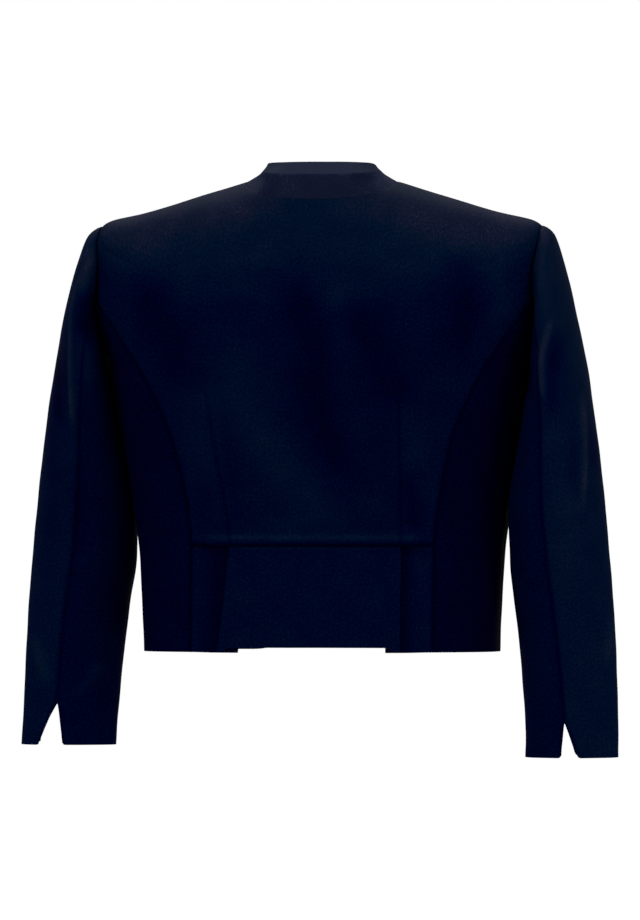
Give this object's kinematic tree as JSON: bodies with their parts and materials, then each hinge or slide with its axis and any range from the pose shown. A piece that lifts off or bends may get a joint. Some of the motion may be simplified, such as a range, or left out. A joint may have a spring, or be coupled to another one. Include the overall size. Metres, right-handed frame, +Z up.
{
  "type": "bolero jacket",
  "caption": "Cropped open jacket with padded shoulders, standing neck band, rounded fronts, box-pleated back skirt and notched cuffs, filled out as worn.",
  "frame": {"origin": "middle of the neck opening, level with the neck ends of the shoulder seams, where the wearer's shoulders carry the jacket", "axes": "+Z up, the front faces -Y, and the wearer's left arm is at +X"},
  "size_m": [0.6053, 0.2583, 0.595],
  "materials": {
    "shell_cloth": "matt, smooth dark navy crepe with a faint sheen"
  },
  "bodies": {
    "root": {"back": "shell_cloth", "skirt_back": "shell_cloth", "side_back_left": "shell_cloth", "side_back_right": "shell_cloth", "front_left": "shell_cloth", "front_right": "shell_cloth", "collar": "shell_cloth", "sleeve_top_left": "shell_cloth", "sleeve_top_right": "shell_cloth", "sleeve_under_left": "shell_cloth", "sleeve_under_right": "shell_cloth"}
  },
  "joints": []
}
